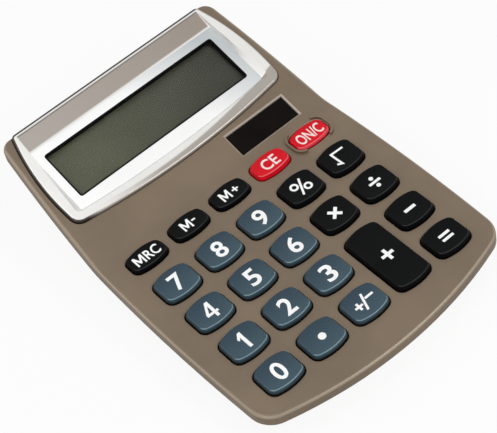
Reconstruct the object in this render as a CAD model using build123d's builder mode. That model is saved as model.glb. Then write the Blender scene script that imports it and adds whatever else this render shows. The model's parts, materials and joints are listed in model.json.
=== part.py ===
from build123d import *
from dataclasses import dataclass
from math import atan2, cos, degrees, radians, sin, tan
import os

os.makedirs("parts", exist_ok=True)

# Decks: the keyboard deck leans towards the user, and the display deck rises behind it
keyboard_tilt = 3.0
display_rise = 15.0
keyboard_length = 93.2
display_length = 57.3
front_height = 10.5
bend_radius = 20.0

# Case shells
case_half_width = 52.3
widest_setback = 42.0
side_radius = 780.0
front_bow = 8.7
front_corner = 9.0
rear_corner = 4.5
edge_round = 1.3
skin = 2.2
side_wall = 2.0
rim_depth = 3.8
floor_thickness = 1.6
tub_inset = 1.5
tub_draft = 20.0
tub_knee_radius = 60.0
tongue_height = 1.3
tongue_thickness = 1.1
shell_gap = 0.15
overrun = 30.0

# Keys, in columns each side of the middle one and rows set back from the bend
side_columns = 2
last_row = 3
column_margin = 16.3
front_row_margin = 18.7
digit_row_setback = 25.0
function_row_setback = 9.1
key_travel = 1.2
key_gap = 0.3
hole_round = 0.35

# Key cap outlines where they leave the deck: longest in the middle, shorter at the sides
column_spacing = 3.7
row_spacing = 3.8
digit_bow = 2.9
digit_corner = 2.8
top_inset = 0.6
digit_rise = 2.0
function_side = 6.5
function_middle = 9.2
function_corner = 2.6
function_rise = 1.7
clear_rise = 1.1

# Key caps, inside
key_roof = 1.2
key_wall = 1.2
key_rest_gap = 0.1
tab_thickness = 0.8
tab_reach = 0.9
tab_length = 6.0
stem_radius = 1.8
stem_depth = 3.55
dome_gap = 0.05
key_edge_round = 0.5
dish_depth = 0.3
dish_margin = 0.3

# Guard ribs beside the ON/C key
guard_gap = 0.6
guard_width = 0.7
guard_height = 0.9
guard_end_setback = 5.2

# Rubber mat and circuit board
dome_radius = 4.4
dome_top_radius = 2.6
dome_wall = 0.7
sheet_thickness = 0.6
sheet_margin = 1.5
pill_radius = 1.6
pill_thickness = 0.4
mat_hole_gap = 0.2
board_thickness = 1.0
board_side_margin = 10.1
board_front_margin = 12.2
board_rear_margin = 1.0
board_corner = 2.0

# Pieces soldered under the board
chip_across = 14.0
chip_back = 22.0
chip_radius = 5.0
chip_drop = 1.3
chip_round_share = 0.8
capacitor_radius = 2.2
capacitor_drop = 3.4
resistor_pitch = 6.0
resistor_length = 3.2
resistor_width = 1.6
resistor_drop = 0.7

# Display outlines: margins from the case's edges in to the bezel, its slope, the plate and the window
bezel_side_margin = 5.0
bezel_rear_margin = 0.6
bezel_waist_flare = 4.5
bezel_foot_flare = 4.1
bezel_front_corner = 4.0
bezel_rear_corner = 1.8
plate_setback = 0.9
plate_corner = 0.8
slope_setback = 1.3
slope_flare = 2.6
slope_corner = 2.2
window_side_margin = 3.6
window_surround = 37.7
window_corner = 0.6

# The same outlines, from the window's upper and lower edges out
bezel_top_reach = 12.8
bezel_foot_reach = 8.4
bezel_bottom_reach = 11.9
plate_top_reach = 3.9
plate_foot_reach = 4.4
plate_bottom_reach = 6.2
slope_top_reach = 11.4
slope_foot_reach = 5.4
slope_bottom_reach = 7.4

# Display, in depth
bezel_pocket_depth = 1.3
bezel_crest = 1.2
bezel_gap = 0.3
bezel_round = 0.9
plate_thickness = 0.7
lens_thickness = 1.0
lens_margin = 1.5
film_thickness = 0.2
glass_thickness = 1.6
glass_margin = 1.3
frame_wall = 1.2
frame_lip = 1.4
frame_back = 0.8
stack_gap = 0.05

# Solar cell
solar_side_margin = 24.8
solar_centre_up = 5.5
solar_width = 25.7
solar_height = 9.4
solar_sink = 1.0
solar_flange = 1.2
solar_flange_thickness = 0.8
solar_cell_thickness = 1.1
solar_chamfer = 0.5
solar_chamfer_slope = 45.0

# Screws
boss_radius = 2.2
boss_length = 4.2
pilot_radius = 1.05
seat_thickness = 1.6
screw_radius = 1.0
screw_hole_radius = 1.25
screw_head_radius = 1.9
screw_head_height = 1.4
screw_bite = 3.6
head_clearance = 0.3
slot_width = 0.6
slot_depth = 0.6
post_radius = 2.7
front_screw_side = 7.1
front_screw_inset = 26.25
rear_screw_side = 9.8
rear_screw_up = 15.5
board_boss_radius = 1.9

# Feet
foot_height = 1.0
foot_radius = 4.0
foot_sink = 0.5
foot_round = 0.5
front_foot_side = 11.3
front_foot_inset = 17.0
rear_foot_side = 19.8
rear_foot_inset = 22.0

# Battery
cell_radius = 5.8
cell_height = 5.4
cell_gap = 0.3
cell_round = 0.3
battery_foot_spacing = 14.5
battery_up = 20.0
housing_wall = 1.2
cover_radius = 9.0
cover_gap = 0.3
cover_thickness = 1.3
lug_reach = 1.2
lug_thickness = 0.8
lug_width = 4.4
cover_turn = 60.0
coin_slot_length = 12.0
coin_slot_width = 1.6
coin_slot_depth = 0.7
contact_thickness = 0.3
contact_width = 4.0
contact_slot_depth = 1.2
tail_width = 2.0
tail_length = 1.2

# Wires and ribbon
wire_radius = 0.5
wire_pitch = 5.0
wire_bend = 1.2
wire_drop = 2.4
wire_landing = 4.0
solar_wire_up = 7.0
solar_wire_drop = 4.2
ribbon_thickness = 0.2
ribbon_side_margin = 3.8
ribbon_battery_gap = 2.5
ribbon_bend = 2.0

# Worked out from the sizes above: places along the case, from its two decks
display_tilt = keyboard_tilt + display_rise
case_length = keyboard_length * cos(radians(keyboard_tilt)) + display_length * cos(radians(display_tilt))
front_y = -case_length / 2
rear_y = case_length / 2
bend_y = front_y + keyboard_length * cos(radians(keyboard_tilt))
bend_z = front_height + keyboard_length * sin(radians(keyboard_tilt))
corner_y = front_y + front_bow
widest_y = bend_y - widest_setback


def half_width(y):
    """Half the case's width at a place along it: each side is one wide arc."""
    return case_half_width - side_radius + (side_radius**2 - (y - widest_y) ** 2) ** 0.5


# Widths follow the case's width, and lengths its two decks
rear_half_width = half_width(rear_y)
column_pitch = (case_half_width - column_margin) / side_columns
row_pitch = (keyboard_length - front_row_margin - digit_row_setback) / last_row
digit_width = column_pitch - column_spacing
digit_middle = row_pitch - row_spacing
digit_side = digit_middle - digit_bow
board_half_width = case_half_width - board_side_margin
bezel_top_half = rear_half_width - bezel_side_margin
bezel_waist_half = bezel_top_half + bezel_waist_flare
bezel_foot_half = bezel_top_half + bezel_foot_flare
plate_half = bezel_top_half - plate_setback
slope_top_half = bezel_top_half - slope_setback
slope_foot_half = slope_top_half + slope_flare
window_width = 2 * (plate_half - window_side_margin)
window_height = display_length - window_surround
bezel_top = window_height / 2 + bezel_top_reach
bezel_foot = window_height / 2 + bezel_foot_reach
bezel_bottom = window_height / 2 + bezel_bottom_reach
plate_top = window_height / 2 + plate_top_reach
plate_foot = window_height / 2 + plate_foot_reach
plate_bottom = window_height / 2 + plate_bottom_reach
slope_top = window_height / 2 + slope_top_reach
slope_foot = window_height / 2 + slope_foot_reach
slope_bottom = window_height / 2 + slope_bottom_reach
display_centre = display_length - bezel_rear_margin - bezel_top
solar_centre_across = case_half_width - solar_side_margin
front_screw_across = case_half_width - front_screw_side
front_screw_setback = keyboard_length - front_screw_inset
rear_screw_across = rear_half_width - rear_screw_side
front_foot_across = case_half_width - front_foot_side
rear_foot_across = rear_half_width - rear_foot_side
battery_across = rear_foot_across - battery_foot_spacing
dome_height = key_rest_gap + key_travel + pill_thickness + dome_wall - sheet_thickness
board_top = stem_depth + dome_gap + dome_height + sheet_thickness
inner_floor = foot_height + floor_thickness


def deck(tilt):
    """The plane of a deck: X across, Y up its slope from the bend, Z out of it."""
    lean = radians(tilt)
    return Plane(origin=(0, bend_y, bend_z), x_dir=(1, 0, 0), z_dir=(0, -sin(lean), cos(lean)))


keyboard = deck(keyboard_tilt)
display = deck(display_tilt)


def place(plane, across, up, out=0.0):
    """A plane parallel to a deck with its origin at a place on it."""
    spot = plane.from_local_coords((across, up, out))
    return Plane(origin=spot, x_dir=plane.x_dir, z_dir=plane.z_dir)


def deck_height(y, depth):
    """Height over the desk of the case surface, sunk square to itself by a depth."""
    lean = radians(keyboard_tilt if y < bend_y else display_tilt)
    return bend_z + (y - bend_y) * tan(lean) - depth / cos(lean)


def profile_point(plane, up, depth):
    """A point of the side view, as its Y and Z."""
    spot = plane.from_local_coords((0, up, -depth))
    return spot.Y, spot.Z


def below_deck(depth):
    """Everything under the case surface sunk by a depth, with the bend rounded alike."""
    half_rise = radians(display_rise) / 2
    lean = radians(keyboard_tilt) + half_rise
    reach = depth / cos(half_rise)
    bend = (bend_y + reach * sin(lean), bend_z - reach * cos(lean))
    front = profile_point(keyboard, -keyboard_length - overrun, depth)
    rear = profile_point(display, display_length + overrun, depth)
    with BuildPart() as block:
        with BuildSketch(Plane.YZ) as side:
            with BuildLine():
                Polyline(front, bend, rear, (rear[0], -overrun), (front[0], -overrun), close=True)
            make_face()
            fillet(side.vertices().sort_by_distance((0, *bend))[0], bend_radius + depth)
        extrude(amount=case_half_width + overrun, both=True)
    return block.part


def case_plan(inset):
    """The outline of the case from above, drawn in by an inset: where three wide circles overlap."""
    front_radius = (half_width(corner_y) ** 2 + front_bow**2) / (2 * front_bow)
    length = case_length - inset
    with BuildSketch() as plan:
        with Locations((0, front_y + front_radius)):
            Circle(front_radius - inset)
        for side in (-1, 1):
            with Locations(Location((side * (case_half_width - side_radius), widest_y, 0), (0, 0, 90 + side * 90))):
                Circle(side_radius - inset, mode=Mode.INTERSECT)
        with Locations((0, rear_y - inset - length / 2)):
            Rectangle(2 * side_radius, length, mode=Mode.INTERSECT)
        fillet(plan.vertices().group_by(Axis.Y)[-1], rear_corner - inset)
        fillet(plan.vertices().group_by(Axis.Y)[0], front_corner - inset)
    return plan.sketch


def case_block(inset, depth):
    """The case outline carried up to the case surface sunk by a depth."""
    with BuildPart() as block:
        with BuildSketch(Plane.XY.offset(-overrun)):
            add(case_plan(inset))
        extrude(amount=overrun + bend_z + display_length)
        add(below_deck(depth), mode=Mode.INTERSECT)
    return block.part


def upright_edges(block):
    """The edges that climb from the floor, where two walls meet."""
    return block.edges().filter_by(lambda edge: abs(edge.tangent_at(0.5).Z) > sin(radians(2 * tub_draft)))


def tub_block(base, wall):
    """The tapered body of the tub, drawn in by a wall, from a height up past the rim."""

    def reach(y):
        return tan(radians(tub_draft)) * (deck_height(y, rim_depth) - base) + tub_inset + wall

    def beside(y):
        return half_width(y) - reach(y)

    near_y = corner_y + reach(corner_y)
    middle_y = (near_y + bend_y) / 2
    far_y = rear_y - reach(rear_y)
    near = (beside(near_y), near_y)
    middle = (beside(middle_y), middle_y)
    knee = (beside(bend_y), bend_y)
    far = (beside(far_y), far_y)
    with BuildPart() as block:
        with BuildSketch(Plane.XY.offset(base)):
            with BuildLine():
                ThreePointArc((-near[0], near_y), (0, front_y + reach(front_y)), near)
                ThreePointArc(near, middle, knee)
                Polyline(knee, far, (-far[0], far_y), (-knee[0], bend_y))
                ThreePointArc((-knee[0], bend_y), (-middle[0], middle_y), (-near[0], near_y))
            make_face()
        extrude(amount=bend_z + display_length, taper=-tub_draft)
        fillet(upright_edges(block).group_by(Axis.Y)[-1], rear_corner - tub_inset - wall / 2)
        fillet(upright_edges(block).group_by(Axis.Y)[1], tub_knee_radius)
        fillet(upright_edges(block).group_by(Axis.Y)[0], front_corner - tub_inset - wall)
    return block.part


def finish(piece, name):
    """Label a piece and write its file."""
    piece.part.label = name
    export_step(piece.part, "parts/" + name + ".step")


def barrel(width, side, middle, corner):
    """A key's outline: straight sides, bowed front and back edges, rounded corners."""
    with BuildSketch() as outline:
        with BuildLine():
            ThreePointArc((-width / 2, -side / 2), (0, -middle / 2), (width / 2, -side / 2))
            Line((width / 2, -side / 2), (width / 2, side / 2))
            ThreePointArc((width / 2, side / 2), (0, middle / 2), (-width / 2, side / 2))
            Line((-width / 2, side / 2), (-width / 2, -side / 2))
        make_face()
        fillet(outline.vertices(), corner)
    return outline.sketch


# Keys: how large each kind is where it leaves the deck


@dataclass(frozen=True)
class Cap:
    """One kind of key cap."""

    side: float
    middle: float
    corner: float
    rise: float
    stems: tuple

    def outline(self, grow):
        """The cap's outline, grown all round."""
        return barrel(
            digit_width + 2 * grow, self.side + 2 * grow, self.middle + 2 * grow, self.corner + grow
        )


digit_cap = Cap(digit_side, digit_middle, digit_corner, digit_rise, (0,))
tall_cap = Cap(
    digit_side + row_pitch, digit_middle + row_pitch, digit_corner, digit_rise, (-row_pitch / 2, row_pitch / 2)
)
function_cap = Cap(function_side, function_middle, function_corner, function_rise, (0,))
clear_cap = Cap(function_side, function_middle, function_corner, clear_rise, (0,))

# Each key: its name, its column from the middle, its row from the digit row at the back, its kind
function_row = None
keys = (
    ("key_memory_recall", -2, function_row, function_cap),
    ("key_memory_minus", -1, function_row, function_cap),
    ("key_memory_plus", 0, function_row, function_cap),
    ("key_clear_entry", 1, function_row, function_cap),
    ("key_on_clear", 2, function_row, clear_cap),
    ("key_7", -2, 0, digit_cap),
    ("key_8", -1, 0, digit_cap),
    ("key_9", 0, 0, digit_cap),
    ("key_percent", 1, 0, digit_cap),
    ("key_square_root", 2, 0, digit_cap),
    ("key_4", -2, 1, digit_cap),
    ("key_5", -1, 1, digit_cap),
    ("key_6", 0, 1, digit_cap),
    ("key_multiply", 1, 1, digit_cap),
    ("key_divide", 2, 1, digit_cap),
    ("key_1", -2, 2, digit_cap),
    ("key_2", -1, 2, digit_cap),
    ("key_3", 0, 2, digit_cap),
    ("key_plus", 1, 2.5, tall_cap),
    ("key_minus", 2, 2, digit_cap),
    ("key_0", -2, 3, digit_cap),
    ("key_point", -1, 3, digit_cap),
    ("key_change_sign", 0, 3, digit_cap),
    ("key_equals", 2, 3, digit_cap),
)


def key_spot(column, row):
    """Where a key stands on the keyboard deck."""
    if row is function_row:
        return column * column_pitch, -function_row_setback
    return column * column_pitch, -digit_row_setback - row * row_pitch


spots = {name: key_spot(column, row) for name, column, row, cap in keys}
domes = [
    (spots[name][0], spots[name][1] + stem)
    for name, column, row, cap in keys
    for stem in cap.stems
]

# Board screws stand in the gaps between four keys, counted in pitches
board_screw_shares = ((-1.5, 0.5), (1.5, 0.5), (1.5, 1.5), (-1.5, 2.5), (-0.5, 2.5))
board_screws_at = [key_spot(column, row) for column, row in board_screw_shares]

# Case screws stand upright, two at the front and two behind the bend
front_screw_y = bend_y - front_screw_setback * cos(radians(keyboard_tilt))
rear_screw_y = bend_y + rear_screw_up * cos(radians(display_tilt))
case_screws_at = [
    (side * across, y, deck_height(y, skin) - boss_length)
    for across, y in ((front_screw_across, front_screw_y), (rear_screw_across, rear_screw_y))
    for side in (-1, 1)
]


def bezel_outline(grow):
    """The silver ring's outline: straight at the back, bowed at the front, flaring sides."""
    with BuildSketch() as outline:
        with BuildLine():
            ThreePointArc((-bezel_foot_half, -bezel_foot), (0, -bezel_bottom), (bezel_foot_half, -bezel_foot))
            ThreePointArc((bezel_foot_half, -bezel_foot), (bezel_waist_half, 0), (bezel_top_half, bezel_top))
            Line((bezel_top_half, bezel_top), (-bezel_top_half, bezel_top))
            ThreePointArc((-bezel_top_half, bezel_top), (-bezel_waist_half, 0), (-bezel_foot_half, -bezel_foot))
        make_face()
        fillet(outline.vertices().group_by(Axis.Y)[-1], bezel_rear_corner)
        fillet(outline.vertices().group_by(Axis.Y)[0], bezel_front_corner)
        if grow:
            offset(amount=grow)
    return outline.sketch


def screen_outline(top_half, foot_half, top, foot, bottom, corner):
    """An outline with a straight back and sides and a bowed front edge."""
    with BuildSketch() as outline:
        with BuildLine():
            ThreePointArc((-foot_half, -foot), (0, -bottom), (foot_half, -foot))
            Polyline((foot_half, -foot), (top_half, top), (-top_half, top), (-foot_half, -foot))
        make_face()
        fillet(outline.vertices(), corner)
    return outline.sketch


def plate_outline(grow):
    """The bright plate's outline."""
    half = plate_half + grow
    return screen_outline(
        half, half, plate_top + grow, plate_foot + grow, plate_bottom + grow, plate_corner + grow
    )


screen = place(display, 0, display_centre)
solar = place(display, solar_centre_across, solar_centre_up)
deck_under = skin + stack_gap

# Battery, upright under the display deck
battery_y = bend_y + battery_up
cover_top = foot_height + cover_thickness
ledge_top = cover_top + lug_thickness
lug_floor = ledge_top + stack_gap
lug_top = lug_floor + lug_thickness
hub_top = lug_top + stack_gap
cell_base = hub_top
cell_top = cell_base + cell_height
ceiling = cell_top + 2 * contact_thickness
housing_top = ceiling + housing_wall
cup_radius = cell_radius + cell_gap
lug_room = cover_radius + cover_gap
ledge_radius = lug_room - lug_reach - cover_gap
housing_radius = lug_room + housing_wall
feet_at = [
    (side * across, y)
    for across, y in (
        (front_foot_across, front_y + front_foot_inset),
        (rear_foot_across, rear_y - rear_foot_inset),
    )
    for side in (-1, 1)
]

# Top case: the skin with its rim, screw bosses, key holes, display pocket and guard ribs
with BuildPart() as bosses:
    for across, y, base in case_screws_at:
        with BuildSketch(Plane.XY.offset(base)):
            with Locations((across, y)):
                Circle(boss_radius)
        extrude(amount=boss_length + skin)
    with BuildSketch(keyboard.offset(-board_top)):
        with Locations(*board_screws_at):
            Circle(board_boss_radius)
    extrude(amount=board_top)
    add(below_deck(skin / 2), mode=Mode.INTERSECT)

with BuildPart() as pilot_holes:
    for across, y, base in case_screws_at:
        with BuildSketch(Plane.XY.offset(base)):
            with Locations((across, y)):
                Circle(pilot_radius)
        extrude(amount=boss_length)
    with BuildSketch(keyboard.offset(-board_top)):
        with Locations(*board_screws_at):
            Circle(pilot_radius)
    extrude(amount=board_top - skin)

with BuildPart() as top_case:
    add(case_block(0, 0))
    crown = top_case.faces().filter_by(lambda face: face.normal_at().Z > sin(radians(display_tilt)))
    seams = crown.edges().filter_by(Axis.X).filter_by(lambda edge: edge.center().Y < bend_y + bend_radius)
    fillet(crown.edges().filter_by(lambda edge: edge not in seams), edge_round)
    add(case_block(side_wall, skin), mode=Mode.SUBTRACT)
    add(below_deck(rim_depth), mode=Mode.SUBTRACT)
    add(bosses.part)
    add(pilot_holes.part, mode=Mode.SUBTRACT)
    with BuildSketch(keyboard.offset(skin)):
        for name, column, row, cap in keys:
            with Locations(spots[name]):
                add(cap.outline(key_gap))
    extrude(amount=-2 * skin - key_rest_gap, mode=Mode.SUBTRACT)
    deck_face = top_case.faces().filter_by(keyboard).sort_by(Axis.Z)[-1]
    lips = deck_face.inner_wires().edges()
    fillet(lips, hole_round)
    with BuildSketch(screen.offset(-bezel_pocket_depth)):
        add(bezel_outline(bezel_gap))
    extrude(amount=overrun, mode=Mode.SUBTRACT)
    with BuildSketch(screen.offset(-overrun)):
        RectangleRounded(window_width, window_height, window_corner)
    extrude(amount=2 * overrun, mode=Mode.SUBTRACT)
    with BuildSketch(solar.offset(-2 * skin)):
        Rectangle(solar_width, solar_height)
    extrude(amount=2 * skin + overrun, mode=Mode.SUBTRACT)
    with BuildSketch(solar.offset(-solar_chamfer)):
        Rectangle(solar_width, solar_height)
    extrude(amount=2 * solar_chamfer, taper=-solar_chamfer_slope, mode=Mode.SUBTRACT)
    with BuildSketch(keyboard):
        with Locations(spots["key_on_clear"]):
            add(clear_cap.outline(guard_gap + guard_width))
            add(clear_cap.outline(guard_gap), mode=Mode.SUBTRACT)
            Rectangle(2 * guard_end_setback, 2 * digit_width, mode=Mode.SUBTRACT)
    extrude(amount=guard_height)
finish(top_case, "top_case")

# Bottom case: a tapered tub with a tongue inside the rim, screw posts and the battery housing
with BuildPart() as posts:
    for across, y, base in case_screws_at:
        with BuildSketch(Plane.XY.offset(foot_height)):
            with Locations((across, y)):
                Circle(post_radius)
        extrude(amount=base - foot_height)
    with BuildSketch(Plane.XY.offset(foot_height)):
        with Locations((battery_across, battery_y)):
            Circle(housing_radius)
    extrude(amount=housing_top - foot_height)

with BuildPart() as tongue:
    add(case_block(side_wall + shell_gap, rim_depth - tongue_height))
    add(case_block(side_wall + shell_gap + tongue_thickness, 0), mode=Mode.SUBTRACT)
    add(below_deck(rim_depth + tongue_thickness), mode=Mode.SUBTRACT)

with BuildPart() as bottom_case:
    add(tub_block(foot_height, 0))
    add(below_deck(rim_depth), mode=Mode.INTERSECT)
    add(tub_block(inner_floor, side_wall), mode=Mode.SUBTRACT)
    add(tongue.part)
    add(posts.part)
    for across, y, base in case_screws_at:
        with Locations(Location((across, y, foot_height), (180, 0, 0))):
            CounterBoreHole(
                screw_hole_radius,
                screw_head_radius + head_clearance,
                base - seat_thickness - foot_height,
                base - foot_height,
            )
    with BuildSketch(Plane.XY.offset(foot_height)):
        with Locations(*feet_at):
            Circle(foot_radius)
    extrude(amount=foot_sink, mode=Mode.SUBTRACT)
    with BuildSketch(Plane.XY.offset(foot_height)):
        with Locations((battery_across, battery_y)):
            Circle(lug_room)
    extrude(amount=cover_thickness, mode=Mode.SUBTRACT)
    with BuildSketch(Plane.XY.offset(foot_height)):
        with Locations((battery_across, battery_y)):
            Circle(ledge_radius)
            with BuildSketch(mode=Mode.PRIVATE) as lug_slots:
                Rectangle(2 * cover_radius, lug_width + 2 * cover_gap)
                Circle(cover_radius, mode=Mode.INTERSECT)
            add(lug_slots.sketch.rotate(Axis.Z, cover_turn))
    extrude(amount=ledge_top - foot_height, mode=Mode.SUBTRACT)
    with BuildSketch(Plane.XY.offset(ledge_top)):
        with Locations((battery_across, battery_y)):
            Circle(lug_room)
    extrude(amount=lug_top + stack_gap - ledge_top, mode=Mode.SUBTRACT)
    with BuildSketch(Plane.XY.offset(ledge_top)):
        with Locations((battery_across, battery_y)):
            Circle(cup_radius)
    extrude(amount=ceiling - ledge_top, mode=Mode.SUBTRACT)
    with BuildSketch(Plane.XY.offset(cell_base)):
        with Locations((battery_across, battery_y - cup_radius), (battery_across, battery_y + cup_radius)):
            Rectangle(contact_width + cover_gap, contact_slot_depth)
    extrude(amount=housing_top - cell_base, mode=Mode.SUBTRACT)
finish(bottom_case, "bottom_case")

# Display bezel: a crowned ring whose inside slopes down to the plate, gently at the back
with BuildPart() as display_bezel:
    with BuildSketch(screen.offset(-bezel_pocket_depth)):
        add(bezel_outline(0))
    extrude(amount=bezel_pocket_depth + bezel_crest)
    fillet(display_bezel.faces().sort_by(Axis(screen.origin, screen.z_dir))[-1].edges(), bezel_round)
    with BuildSketch(screen.offset(plate_thickness - bezel_pocket_depth)):
        add(plate_outline(0))
    with BuildSketch(screen.offset(bezel_crest)):
        add(
            screen_outline(
                slope_top_half, slope_foot_half, slope_top, slope_foot, slope_bottom, slope_corner
            )
        )
    loft(ruled=True, mode=Mode.SUBTRACT)
    with BuildSketch(screen.offset(-bezel_pocket_depth)):
        add(plate_outline(0))
    extrude(amount=plate_thickness, mode=Mode.SUBTRACT)
finish(display_bezel, "display_bezel")

# Display plate: lies on the pocket's floor inside the bezel
with BuildPart() as display_plate:
    with BuildSketch(screen.offset(-bezel_pocket_depth)):
        add(plate_outline(-stack_gap))
        RectangleRounded(window_width, window_height, window_corner, mode=Mode.SUBTRACT)
    extrude(amount=plate_thickness)
finish(display_plate, "display_plate")


def layer(name, width, height, top, thickness):
    """A flat rectangular layer of the display, a depth below the display deck."""
    with BuildPart() as sheet:
        with BuildSketch(screen.offset(-top - thickness)):
            Rectangle(width, height)
        extrude(amount=thickness)
    finish(sheet, name)


# Display stack, from the lens down to the reflector
lens_width = window_width + 2 * lens_margin
lens_height = window_height + 2 * lens_margin
glass_width = window_width + 2 * glass_margin
glass_height = window_height + 2 * glass_margin
front_film = deck_under + lens_thickness + stack_gap
glass_top = front_film + film_thickness + stack_gap
rear_film = glass_top + glass_thickness + stack_gap
glass_back = glass_top + glass_thickness
frame_depth = rear_film + film_thickness + stack_gap
film_height = window_height + glass_margin
layer("display_window", lens_width, lens_height, deck_under, lens_thickness)
layer("lcd_polariser", glass_width, film_height, front_film, film_thickness)
layer("lcd_glass", glass_width, glass_height, glass_top, glass_thickness)
layer("lcd_reflector", glass_width, film_height, rear_film, film_thickness)

# Display ribbon's place, between the display's left edge and the battery housing
ribbon_left = ribbon_side_margin - window_width / 2
ribbon_right = battery_across - housing_radius - ribbon_battery_gap
ribbon_width = ribbon_right - ribbon_left
ribbon_across = (ribbon_left + ribbon_right) / 2

# Display frame: a tray round the stack, held up against the skin, open at the back and for the ribbon
with BuildPart() as lcd_frame:
    with BuildSketch(screen.offset(-frame_depth - frame_back)):
        Rectangle(lens_width + 2 * frame_wall, lens_height + 2 * frame_wall)
    extrude(amount=frame_depth + frame_back - skin)
    with BuildSketch(screen.offset(-frame_depth)):
        Rectangle(lens_width + 2 * stack_gap, lens_height + 2 * stack_gap)
    extrude(amount=frame_depth, mode=Mode.SUBTRACT)
    with BuildSketch(screen.offset(-frame_depth - frame_back)):
        Rectangle(glass_width - 2 * frame_lip, window_height - 2 * frame_lip)
    extrude(amount=frame_back, mode=Mode.SUBTRACT)
    with BuildSketch(screen.offset(-frame_depth - frame_back)):
        with Locations((ribbon_across, -lens_height / 2)):
            Rectangle(ribbon_width + frame_lip, 2 * (frame_wall + frame_lip))
    extrude(amount=frame_depth + frame_back - glass_back + ribbon_thickness, mode=Mode.SUBTRACT)
finish(lcd_frame, "lcd_frame")

# Display ribbon: a film from the glass's lower edge down to the board, beside the battery housing
ribbon_depth = glass_back + ribbon_thickness / 2
with BuildPart() as lcd_ribbon:
    with BuildSketch(Plane.YZ.offset(ribbon_across - ribbon_width / 2)):
        with BuildLine() as ribbon_line:
            FilletPolyline(
                profile_point(display, display_centre - film_height / 2 - stack_gap, ribbon_depth),
                profile_point(display, display_centre - lens_height / 2 - frame_wall, ribbon_depth),
                profile_point(keyboard, -board_rear_margin + ribbon_bend, board_top - ribbon_thickness / 2),
                profile_point(keyboard, -board_rear_margin - ribbon_bend, board_top - ribbon_thickness / 2),
                radius=ribbon_bend,
            )
        trace(ribbon_line.line, ribbon_thickness)
    extrude(amount=ribbon_width)
finish(lcd_ribbon, "lcd_ribbon")

# Solar window: a stepped lens pushed up into its hole, with the cell behind it
with BuildPart() as solar_window:
    with BuildSketch(solar.offset(-deck_under - solar_flange_thickness)):
        Rectangle(solar_width + 2 * solar_flange, solar_height + 2 * solar_flange)
    extrude(amount=solar_flange_thickness)
    with BuildSketch(solar.offset(-deck_under)):
        Rectangle(solar_width - 2 * shell_gap, solar_height - 2 * shell_gap)
    extrude(amount=deck_under - solar_sink)
finish(solar_window, "solar_window")

solar_cell_depth = deck_under + solar_flange_thickness + solar_cell_thickness
with BuildPart() as solar_cell:
    with BuildSketch(solar.offset(-solar_cell_depth)):
        Rectangle(solar_width + solar_flange, solar_height + solar_flange)
    extrude(amount=solar_cell_thickness)
finish(solar_cell, "solar_cell")

# Circuit board, with holes for its screws
with BuildPart() as circuit_board:
    with BuildSketch(keyboard.offset(-board_top - board_thickness)):
        board_length = keyboard_length - board_front_margin - board_rear_margin
        with Locations((0, -board_rear_margin - board_length / 2)):
            RectangleRounded(2 * board_half_width, board_length, board_corner)
        with Locations(*board_screws_at):
            Circle(screw_hole_radius, mode=Mode.SUBTRACT)
    extrude(amount=board_thickness)
finish(circuit_board, "circuit_board")

# Rubber mat: a sheet with a hollow dome under every stem
sheet_top = board_top - sheet_thickness
dome_taper = degrees(atan2(dome_radius - dome_top_radius, dome_height))
with BuildPart() as dome_mat:
    with BuildSketch(keyboard.offset(-board_top)):
        mat_front = digit_row_setback + last_row * row_pitch + dome_radius + sheet_margin
        mat_back = function_row_setback - dome_radius - sheet_margin
        with Locations((0, -(mat_front + mat_back) / 2)):
            Rectangle(2 * (side_columns * column_pitch + dome_radius + sheet_margin), mat_front - mat_back)
        with Locations(*board_screws_at):
            Circle(board_boss_radius + mat_hole_gap, mode=Mode.SUBTRACT)
    extrude(amount=sheet_thickness)
    with BuildSketch(keyboard.offset(-sheet_top)):
        with Locations(*domes):
            Circle(dome_radius)
    extrude(amount=dome_height, taper=dome_taper)
    with BuildSketch(keyboard.offset(-board_top)):
        with Locations(*domes):
            Circle(dome_radius - dome_wall)
    extrude(amount=sheet_thickness, mode=Mode.SUBTRACT)
    with BuildSketch(keyboard.offset(-sheet_top)):
        with Locations(*domes):
            Circle(dome_radius - dome_wall)
    extrude(amount=dome_height - dome_wall, taper=dome_taper, mode=Mode.SUBTRACT)
finish(dome_mat, "dome_mat")

# Carbon pills under the roofs of the domes
roof_depth = sheet_top - dome_height + dome_wall
with BuildPart() as dome_pills:
    with BuildSketch(keyboard.offset(-roof_depth - pill_thickness)):
        with Locations(*domes):
            Circle(pill_radius)
    extrude(amount=pill_thickness)
finish(dome_pills, "dome_pills")


# Pieces soldered under the board
with BuildPart() as chip_blob:
    with BuildSketch(keyboard.offset(-board_top - board_thickness)):
        with Locations((-chip_across, -chip_back)):
            Circle(chip_radius)
    extrude(amount=-chip_drop)
    fillet(chip_blob.faces().sort_by(Axis.Z)[0].edges(), chip_drop * chip_round_share)
finish(chip_blob, "chip_blob")

with BuildPart() as capacitor:
    with BuildSketch(keyboard.offset(-board_top - board_thickness)):
        with Locations((chip_across, -chip_back)):
            Circle(capacitor_radius)
    extrude(amount=-capacitor_drop)
finish(capacitor, "capacitor")

with BuildPart() as resistors:
    with BuildSketch(keyboard.offset(-board_top - board_thickness)):
        with Locations((0, -chip_back)):
            with GridLocations(resistor_pitch, resistor_pitch, 2, 2):
                Rectangle(resistor_length, resistor_width)
    extrude(amount=-resistor_drop)
finish(resistors, "resistors")


def screw(plane, length):
    """A self-tapping screw with a slotted pan head, its shank along the plane's Z."""
    with BuildPart() as body:
        with BuildSketch(plane.offset(-screw_head_height)):
            Circle(screw_head_radius)
        extrude(amount=screw_head_height)
        with BuildSketch(plane.offset(-screw_head_height)):
            Rectangle(2 * screw_head_radius, slot_width)
        extrude(amount=slot_depth, mode=Mode.SUBTRACT)
        with BuildSketch(plane):
            Circle(screw_radius)
        extrude(amount=length)
    return body.part


# Screws
with BuildPart() as board_screws:
    for across, up in board_screws_at:
        add(screw(place(keyboard, across, up, -board_top - board_thickness), board_thickness + screw_bite))
finish(board_screws, "board_screws")

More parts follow.
